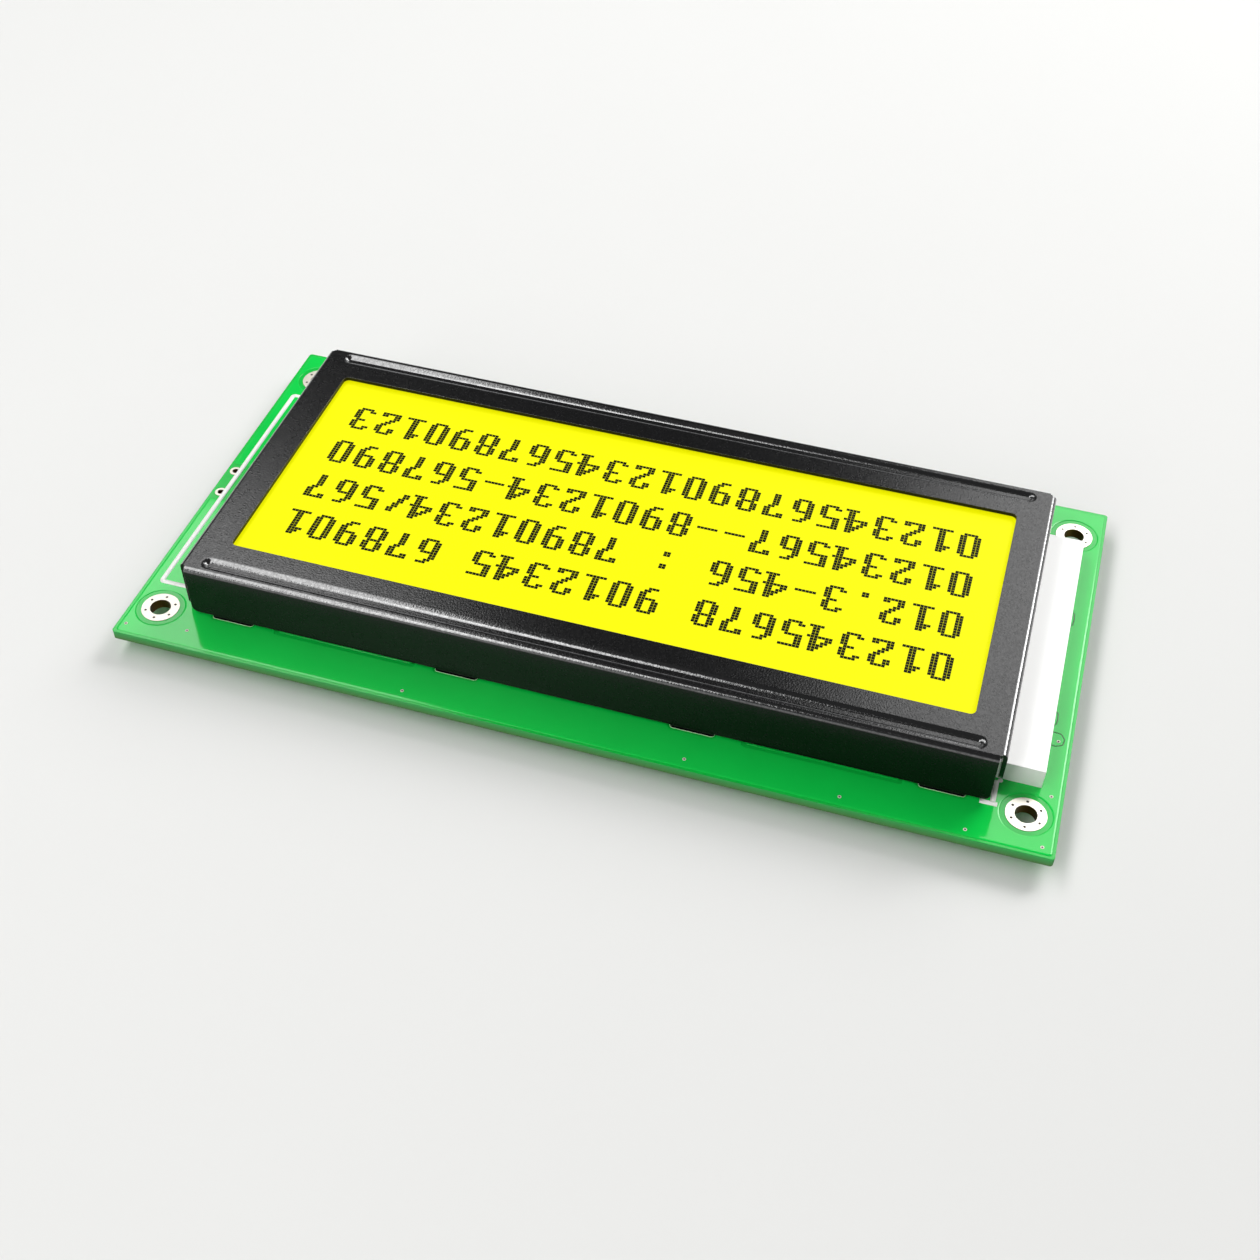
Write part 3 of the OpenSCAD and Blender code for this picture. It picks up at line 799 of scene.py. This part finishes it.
def ribbons():
    """Flat ribbons with eased corners along edges."""
    tree, given = start_tree("Ribbons", RIBBON)
    line = add(tree, "GeometryNodeMeshToCurve", {"Mesh": given["Geometry"]})
    eased = add(tree, "GeometryNodeFilletCurve", {
        "mode": "POLY", "Count": FILLET_STEPS, "Curve": line, "Radius": given["Corner"],
    })
    level = add(tree, "GeometryNodeSetCurveNormal", {"mode": "Z_UP", "Curve": eased})
    section = add(tree, "GeometryNodeCurvePrimitiveQuadrilateral", {
        "Width": given["Width"], "Height": given["Height"],
    })
    ribbon = add(tree, "GeometryNodeCurveToMesh", {
        "Fill Caps": True, "Curve": level, "Profile Curve": section,
    })
    return end_tree(tree, given, ribbon)


def grow(name, source, tree, material, sizes):
    """Runs a node tree over a source mesh and lets the result ride on the module as a plain mesh."""
    piece = new_object(name, source)
    grower = piece.modifiers.new("Grow", "NODES")
    grower.node_group = tree
    values = {**sizes, "Material": material}
    for socket in tree.interface.items_tree:
        if socket.in_out == "INPUT" and socket.name in values:
            grower[socket.identifier] = values[socket.name]
    mesh = baked(piece)
    piece.modifiers.remove(grower)
    piece.data = mesh
    mesh.name = name
    settle(piece)


def arc(middle, radius, start, sweep, steps):
    """Points along a round arc, angles in degrees."""
    turns = [math.radians(start + sweep * i / steps) for i in range(steps + 1)]
    return [(middle[0] + radius * math.cos(a), middle[1] + radius * math.sin(a)) for a in turns]


def circle(middle, radius):
    """Points round a full circle."""
    return arc(middle, radius, 0, 360, CIRCLE_STEPS)[:-1]


def stadium(middle, long, wide):
    """Outline of a slot with round ends, along X."""
    x, y = middle
    reach = (long - wide) / 2
    right_end = arc((x + reach, y), wide / 2, -90, 180, END_STEPS)
    left_end = arc((x - reach, y), wide / 2, 90, 180, END_STEPS)
    return right_end + left_end


def eased_box(low, high, radius):
    """Outline of a rectangle with round corners."""
    corners = ((high[0] - radius, high[1] - radius, 0), (low[0] + radius, high[1] - radius, 90),
               (low[0] + radius, low[1] + radius, 180), (high[0] - radius, low[1] + radius, 270))
    return [point for x, y, start in corners for point in arc((x, y), radius, start, 90, CORNER_STEPS)]


def layer(name, outlines, height, step, slope, material):
    """A thin layer between outlines in millimetres, with sloping edges, half sunk at a height in metres.

    The slope moves the outlines, so they lie far enough apart not to cross, and every hole stays open.
    """
    sketch = bpy.data.curves.new(name, "CURVE")
    sketch.dimensions = "2D"
    sketch.fill_mode = "BOTH"
    sketch.bevel_depth = slope / MM
    sketch.bevel_resolution = SLOPE_STEPS
    sketch.offset = -slope / MM
    for outline in outlines:
        line = sketch.splines.new("POLY")
        line.points.add(len(outline) - 1)
        for point, (x, y) in zip(line.points, outline):
            point.co = (x, y, 0, 1)
        line.use_cyclic_u = True
    carrier = new_object(name + "_sketch", sketch)
    mesh = baked(carrier)
    bpy.data.objects.remove(carrier)
    flattened = Matrix.Diagonal((MM, MM, MM * step / slope, 1))
    mesh.transform(Matrix.Translation((0, 0, height)) @ flattened)
    for face in mesh.polygons:
        face.use_smooth = abs(face.normal.z) < LEVEL
    mesh.materials.clear()
    mesh.materials.append(material)
    settle(new_object(name, mesh))


def mount_holes(name):
    """Middles of the holes of a stated pattern, in millimetres."""
    mount = MOUNTS[name]
    sizes = mount["dims"]
    spacing = [sizes.get("spacing_x_mm"), sizes.get("spacing_y_mm")]
    copies = [2, 2] if all(spacing) else [sizes["count"] if s else 1 for s in spacing]
    lines = []
    for middle, step, count in zip(mount["pos_m"], spacing, copies):
        lines.append([middle / MM + (i - (count - 1) / 2) * (step or 0) for i in range(count)])
    return [(x, y) for x in lines[0] for y in lines[1]]


def slot_middles():
    """Middles of the bezel's slots, in millimetres."""
    shift = SCREEN_MID.y / MM
    columns = [(i - (SLOT_COUNT - 1) / 2) * SLOT_PITCH for i in range(SLOT_COUNT)]
    return [(x, shift + side * SLOT_ROW) for x in columns for side in (-1, 1)]


def slot_outlines(growth):
    """Outlines of the bezel's slots, longer and wider by a growth in millimetres."""
    return [stadium(p, SLOT_LENGTH + growth, SLOT_WIDTH + growth) for p in slot_middles()]


def via_places():
    """Middles of the vias near the edges, in millimetres."""
    lower = [(x, -y) for x, y in EDGE_VIAS if abs(x) < FAR_VIA_REACH]
    return [*EDGE_VIAS, *lower, *SIDE_VIAS]


def bus_rows():
    """Heights of the bus lines behind the board, in millimetres."""
    return [BUS_ROW - i * BUS_STEP for i in range(BUS_LINES)]


def lead_lines():
    """Lines behind the board that run up to the bus and end in a via, in millimetres."""
    rows = bus_rows()
    clear = SLOT_LENGTH / 2 + SLOT_MARGIN
    lines = []
    for x, y in mount_holes("signal_row"):
        if all(abs(x - slot[0]) > clear for slot in slot_middles()):
            lines.append(((x, y + PAD_REACH), (x, rows[-1] - BUS_STEP)))
    for name in numbered("chip_epoxy_cap_"):
        low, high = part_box(name)
        x, y = ((low + high) / 2 / MM).xy
        for i in range(FAN_LINES):
            line_x = x + (i - (FAN_LINES - 1) / 2) * FAN_STEP
            lines.append(((line_x, y), (line_x, FAN_TOP - (i % 2) * BUS_STEP)))
            lines.append(((line_x, y), (line_x, rows[0] + (1 + i % 2) * BUS_STEP)))
    return lines


def copper_outlines(board):
    """Outline of the front copper layer and those of its openings, in millimetres."""
    inset = board.copper_inset / MM
    gap = board.pad_gap / MM
    right, top = BOARD_HIGH.x / MM - inset, BOARD_HIGH.y / MM - inset
    notch_x, notch_half = SUPPLY_NOTCH
    notch_y = MOUNTS["lamp_supply_holes"]["pos_m"][1] / MM
    notch = [(right, notch_y - notch_half), (notch_x, notch_y - notch_half),
             (notch_x, notch_y + notch_half), (right, notch_y + notch_half)]
    outer = eased_box((-right, -top), (right, top), COPPER_CORNER) + notch

    strip_low, strip_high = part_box("lamp_strip_board")
    block_x = (HOUSING_LOW.x + board.block_lap) / MM
    block_low = (HOUSING_LOW.y + board.block_lap) / MM
    block_high = (strip_low.y + strip_high.y) / MM - block_low
    x, y = HIDDEN_HALF
    hidden = [(x, -y), (x, y), (-x, y), (-x, block_high),
              (block_x, block_high), (block_x, block_low), (-x, block_low), (-x, -y)]

    holes = [circle(p, board.ring_gap / MM) for p in mount_holes("mounting_holes")]
    row = mount_holes("signal_row")
    first, last = row[0][0], row[-1][0]
    clear = 2 * (SIGNAL_RING + gap)
    pads = stadium(((first + last) / 2, row[0][1]), last - first + clear, clear)
    zones = []
    for low, high in TRENCHED_ZONES:
        inner_low = [c + TRENCH for c in low]
        inner_high = [c - TRENCH for c in high]
        zones.append(eased_box(low, high, TRENCH_CORNER))
        zones.append(eased_box(inner_low, inner_high, TRENCH_CORNER))
    return [outer, hidden, pads, *holes, *slot_outlines(2 * gap), *zones]


def glyph_dots(sign):
    """Column and row of each dot that a digit or sign switches on."""
    for signs, art in GLYPH_SHEETS.items():
        if sign in signs:
            start = signs.index(sign) * CELL_COLUMNS
            return [(column, row) for row, marks in enumerate(art)
                    for column, mark in enumerate(marks[start:start + CELL_COLUMNS]) if mark == "#"]
    return []


class DISPLAY_OT_dress_board(bpy.types.Operator):
    """Give the circuit board and its plated holes their finish"""

    bl_idname = "display.dress_board"
    bl_label = "Dress the board"

    def execute(self, context):
        board = context.scene.display_board
        plating = ["mounting_hole_plating", "signal_hole_plating", "lamp_hole_plating"]
        dress(["circuit_board"], mask_on_laminate(board))
        dress(plating, hot_tinned_copper(board))
        return {"FINISHED"}


class DISPLAY_OT_lay_copper(bpy.types.Operator):
    """Lay the copper layers under the mask, in front and behind"""

    bl_idname = "display.lay_copper"
    bl_label = "Lay the copper"

    def execute(self, context):
        board = context.scene.display_board
        finish = mask_on_copper(board)
        layer("front_copper", copper_outlines(board), BOARD_TOP,
              board.copper_step, board.copper_slope, finish)
        bus = [((-BUS_HALF, y), (BUS_HALF, y)) for y in bus_rows()]
        traces = path_mesh(bus + lead_lines(), BOARD_BACK)
        grow("back_traces", traces, ribbons(), finish, {
            "Width": board.trace_width, "Height": 2 * board.copper_step, "Corner": 0.0,
        })
        return {"FINISHED"}


class DISPLAY_OT_drill_vias(bpy.types.Operator):
    """Set the vias along the board's edges and in the rings of the mounting holes"""

    bl_idname = "display.drill_vias"
    bl_label = "Drill the vias"

    def execute(self, context):
        board = context.scene.display_board
        ends = [line[-1] for line in lead_lines()]
        front = at_height(via_places(), BOARD_TOP + board.copper_step)
        behind = at_height(via_places() + ends, BOARD_BACK - board.copper_step)
        grow("stitching_vias", plain_mesh(front + behind), eyelets(), dull_tin(board), {
            "Middle radius": (board.via_ring + board.via_bore) / 4,
            "Rim radius": (board.via_ring - board.via_bore) / 4,
        })

        ring_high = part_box("mounting_hole_plating")[1]
        holes = mount_holes("mounting_holes")
        inner = MOUNTS["mounting_holes"]["dims"]["hole_r_mm"]
        outer = ring_high.x / MM - holes[-1][0]
        sweep = 360 * (1 - 1 / RING_VIAS)
        tiny = []
        for hole in holes:
            places = arc(hole, (inner + outer) / 2, RING_VIA_START, sweep, RING_VIAS - 1)
            tiny += at_height(places, ring_high.z)
        # Near-black mounds over the via holes are painted shade
        shadow = via_shadow(board)
        grow("ring_via_bores", plain_mesh(tiny), mounds(), shadow, sized(MOUND, RING_VIA_SHADE_DOT))
        grow("stitching_via_bores", plain_mesh(front + behind), mounds(), shadow, {
            "Length": board.via_bore, "Width": board.via_bore, "Height": VIA_SHADE_DOT_HEIGHT * MM,
        })
        return {"FINISHED"}


class DISPLAY_OT_print_board(bpy.types.Operator):
    """Print the white lines on the board, and trace the gaps around two copper lines"""

    bl_idname = "display.print_board"
    bl_label = "Print the board"

    def execute(self, context):
        board = context.scene.display_board
        ink = screen_ink(board)
        flat = ribbons()
        level = BOARD_TOP + board.copper_step
        line = {"Width": board.ink_line, "Height": 2 * board.ink_height, "Corner": PRINT_CORNER * MM}
        front = path_mesh([LAMP_FRAME_PRINT, CORNER_PRINT, CORNER_LEG_PRINT], level)
        grow("printed_lines", front, flat, ink, line)
        # White dot painted as the highlight at the bezel's corner
        grow("printed_dot", plain_mesh(at_height([CORNER_GLINT_DOT], level)), mounds(), ink, {
            "Length": GLINT_DOT_WIDTH * MM, "Width": GLINT_DOT_WIDTH * MM, "Height": 4 * board.ink_height,
        })
        # Pale rims round the slots: bare board, and a painted highlight along the slot edges
        rims = path_mesh(slot_outlines(board.rim_line / MM), BOARD_TOP, closed=True)
        grow("slot_rims", rims, flat, bare_laminate(board), {
            "Width": board.rim_line, "Height": board.copper_step, "Corner": 0.0,
        })
        # The gap ribbons take a dark green that is painted shade in the grooves
        gaps = path_mesh([TRACE_LOOP, *TRACE_ARCS], level)
        grow("copper_gaps", gaps, flat, mask_gap_with_painted_shade(board), sized(RIBBON, TRACE_GAP))

        frames = []
        for name in numbered("chip_epoxy_cap_"):
            low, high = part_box(name)
            middle = ((low.x + high.x) / 2 / MM, (low.y + high.y) / 2 / MM)
            frames.append(circle(middle, (high.x - low.x) / 2 / MM + CAP_FRAME_GAP))
        for name in numbered("chip_resistor_") + numbered("chip_capacitor_"):
            low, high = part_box(name)
            outer_low = [c / MM - gap for c, gap in zip(low, CHIP_FRAME_GAP)]
            outer_high = [c / MM + gap for c, gap in zip(high, CHIP_FRAME_GAP)]
            frames.append(eased_box(outer_low, outer_high, CHIP_FRAME_CORNER))
        back = path_mesh(frames, BOARD_BACK - board.copper_step, closed=True)
        grow("back_printed_frames", back, flat, ink, {**line, "Width": FRAME_LINE * MM, "Corner": 0.0})
        return {"FINISHED"}


class DISPLAY_OT_dress_bezel(bpy.types.Operator):
    """Enamel the folded steel bezel"""

    bl_idname = "display.dress_bezel"
    bl_label = "Dress the bezel"

    def execute(self, context):
        dress(["bezel"], baked_enamel(context.scene.display_bezel))
        return {"FINISHED"}


class DISPLAY_OT_dress_screen(bpy.types.Operator):
    """Give the display cell its finish and switch on its dots"""

    bl_idname = "display.dress_screen"
    bl_label = "Dress the screen"

    def execute(self, context):
        screen = context.scene.display_screen
        dress(["front_polariser"], lit_film(screen))
        dress(["front_glass", "rear_glass"], clear_solid("float_glass", screen.glass_colour, ior=1.52))
        dress(["rear_polariser"], moulded_plastic(
            "polariser_film", screen.rear_colour, size=0.2, depth=0.001, roughness=0.3))
        dress(["filling_port_seal"], moulded_plastic(
            "cured_resin", screen.resin_colour, size=0.4, depth=0.004, roughness=0.25))

        rows = len(SCREEN_LINES) * CELL_ROWS
        columns = len(SCREEN_LINES[0]) * CELL_COLUMNS
        pitch = screen.dot_pitch
        dots = []
        for line, text in enumerate(SCREEN_LINES):
            for place, sign in enumerate(text):
                for column, row in glyph_dots(sign):
                    x = place * CELL_COLUMNS + column + 1 - columns / 2
                    y = rows / 2 - (line * CELL_ROWS + GLYPH_TOP + row + 0.5)
                    dots.append((SCREEN_MID.x + x * pitch, SCREEN_MID.y + y * pitch, FILM_HIGH.z))
        grow("screen_dots", plain_mesh(dots), square_dots(), dark_crystal(screen), {
            "Width": pitch - screen.dot_gap, "Height": screen.dot_height,
        })
        return {"FINISHED"}


class DISPLAY_OT_dress_backlight(bpy.types.Operator):
    """Give the backlight, its lamps and the contact strips their finish"""

    bl_idname = "display.dress_backlight"
    bl_label = "Dress the backlight"

    def execute(self, context):
        backlight = context.scene.display_backlight
        chips = context.scene.display_chips
        dress(["backlight_housing"], lit_polycarbonate(backlight))
        dress(["light_guide"], clear_solid("clear_acrylic", backlight.guide_colour, ior=1.49))
        dress(["reflector_film", "diffuser_film"], moulded_plastic(
            "polyester_film", backlight.sheet_colour, size=0.2, depth=0.001, roughness=0.5))
        dress(["lamp_strip_board"], moulded_plastic(
            "thin_laminate", backlight.strip_colour, size=0.4, depth=0.006, roughness=0.5))
        lamps = [name for name in numbered("lamp_") if name.removeprefix("lamp_").isdigit()]
        dress(lamps, moulded_plastic(
            "lamp_resin", backlight.lamp_colour, size=0.3, depth=0.002, roughness=0.2))
        dress(["upper_contact_strip", "lower_contact_strip"], layered_rubber(backlight))
        pins = numbered("lamp_lead_pin_")
        solder = tinned_metal("tin_solder", chips.solder_colour)
        dress(pins, tinned_metal("tinned_wire", chips.solder_colour))

        feet = []
        for name in pins:
            low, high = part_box(name)
            feet.append(((low.x + high.x) / 2, (low.y + high.y) / 2, BOARD_BACK))
        beads = sized(MOUND, PIN_SOLDER)
        grow("pin_solder", plain_mesh(feet), mounds(), solder, beads)
        return {"FINISHED"}


class DISPLAY_OT_dress_chips(bpy.types.Operator):
    """Give the parts behind the board their finish and solder them"""

    bl_idname = "display.dress_chips"
    bl_label = "Dress the chips"

    def execute(self, context):
        chips = context.scene.display_chips
        resistors = numbered("chip_resistor_")
        capacitors = numbered("chip_capacitor_")
        dress(numbered("chip_epoxy_cap_"), moulded_plastic(
            "potting_epoxy", chips.epoxy_colour, size=1.8, depth=0.03, roughness=0.28))
        dress(resistors, chip_ceramic("resistor_ceramic", chips.resistor_colour, chips))
        dress(capacitors, chip_ceramic("capacitor_ceramic", chips.capacitor_colour, chips))
        ends = []
        for name in resistors + capacitors:
            low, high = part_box(name)
            middle = (low.y + high.y) / 2
            ends += [(low.x, middle, BOARD_BACK), (high.x, middle, BOARD_BACK)]
        solder = bpy.data.materials["tin_solder"]
        beads = sized(MOUND, CHIP_SOLDER)
        grow("chip_solder", plain_mesh(ends), mounds(), solder, beads)
        return {"FINISHED"}


class DISPLAY_OT_set_stage(bpy.types.Operator):
    """Set the pale floor, the soft lights and the camera"""

    bl_idname = "display.set_stage"
    bl_label = "Set the stage"

    def execute(self, context):
        scene = context.scene
        stage = scene.display_stage
        rim = [(x, y, 0) for x, y in circle((0, 0), stage.floor_reach)]
        floor = new_object("floor", plain_mesh(rim, faces=[range(len(rim))]))
        floor.data.materials.append(painted_floor(stage))

        for name, (place, along, sides) in LIGHTS.items():
            lamp = bpy.data.lights.new(name + "_light", "AREA")
            lamp.shape = "RECTANGLE"
            lamp.size, lamp.size_y = sides
            lamp.energy = getattr(stage, name + "_power")
            holder = new_object(name + "_light", lamp)
            holder.location = place
            back = Vector(place).normalized()
            along = Vector(along)
            side = (along - along.project(back)).normalized()
            holder.rotation_euler = Matrix((side, back.cross(side), back)).transposed().to_euler()

        world = bpy.data.worlds.new("studio")
        world.use_nodes = True
        tree = world.node_tree
        tree.nodes.clear()
        coords = add(tree, "ShaderNodeTexCoord")
        rise = add(tree, "ShaderNodeSeparateXYZ", {"Vector": coords.outputs["Generated"]})
        level = add(tree, "ShaderNodeMapRange", {
            "Value": rise.outputs["Z"], "From Min": HORIZON_FADE[0], "From Max": HORIZON_FADE[1],
            "To Min": stage.horizon_light, "To Max": stage.world_light,
        })
        sky = add(tree, "ShaderNodeBackground", {"Color": (*stage.sky_colour, 1), "Strength": level})
        add(tree, "ShaderNodeOutputWorld", {"Surface": sky})
        scene.world = world
        scene.view_settings.view_transform = "Standard"

        lens = bpy.data.cameras.new("camera")
        lens.lens = stage.lens
        lens.clip_start = NEAREST
        camera = new_object("camera", lens)
        camera.location = stage.camera_place
        camera.rotation_euler = stage.camera_turn
        scene.camera = camera
        return {"FINISHED"}


OPERATORS = (
    DISPLAY_OT_set_stage,
    DISPLAY_OT_dress_board,
    DISPLAY_OT_lay_copper,
    DISPLAY_OT_drill_vias,
    DISPLAY_OT_print_board,
    DISPLAY_OT_dress_bezel,
    DISPLAY_OT_dress_screen,
    DISPLAY_OT_dress_backlight,
    DISPLAY_OT_dress_chips,
)
SETTINGS = {
    "display_screen": ScreenSettings,
    "display_board": BoardSettings,
    "display_bezel": BezelSettings,
    "display_backlight": BacklightSettings,
    "display_chips": ChipSettings,
    "display_stage": StageSettings,
}


class DISPLAY_PT_panel(bpy.types.Panel):
    """Lists the steps and their settings"""

    bl_idname = "DISPLAY_PT_panel"
    bl_label = "Display module"
    bl_space_type = "VIEW_3D"
    bl_region_type = "UI"
    bl_category = "Display module"

    def draw(self, context):
        for step in OPERATORS:
            self.layout.operator(step.bl_idname)
        for name, group in SETTINGS.items():
            box = self.layout.box()
            box.label(text=group.__doc__)
            for setting in group.__annotations__:
                box.prop(getattr(context.scene, name), setting)


def register():
    for part in (*SETTINGS.values(), *OPERATORS, DISPLAY_PT_panel):
        bpy.utils.register_class(part)
    for name, group in SETTINGS.items():
        setattr(bpy.types.Scene, name, PointerProperty(type=group))


def unregister():
    for name in SETTINGS:
        delattr(bpy.types.Scene, name)
    for part in (DISPLAY_PT_panel, *reversed(OPERATORS), *SETTINGS.values()):
        bpy.utils.unregister_class(part)


def main():
    register()
    for step in OPERATORS:
        group, name = step.bl_idname.split(".")
        getattr(getattr(bpy.ops, group), name)()


if __name__ == "__main__":
    main()
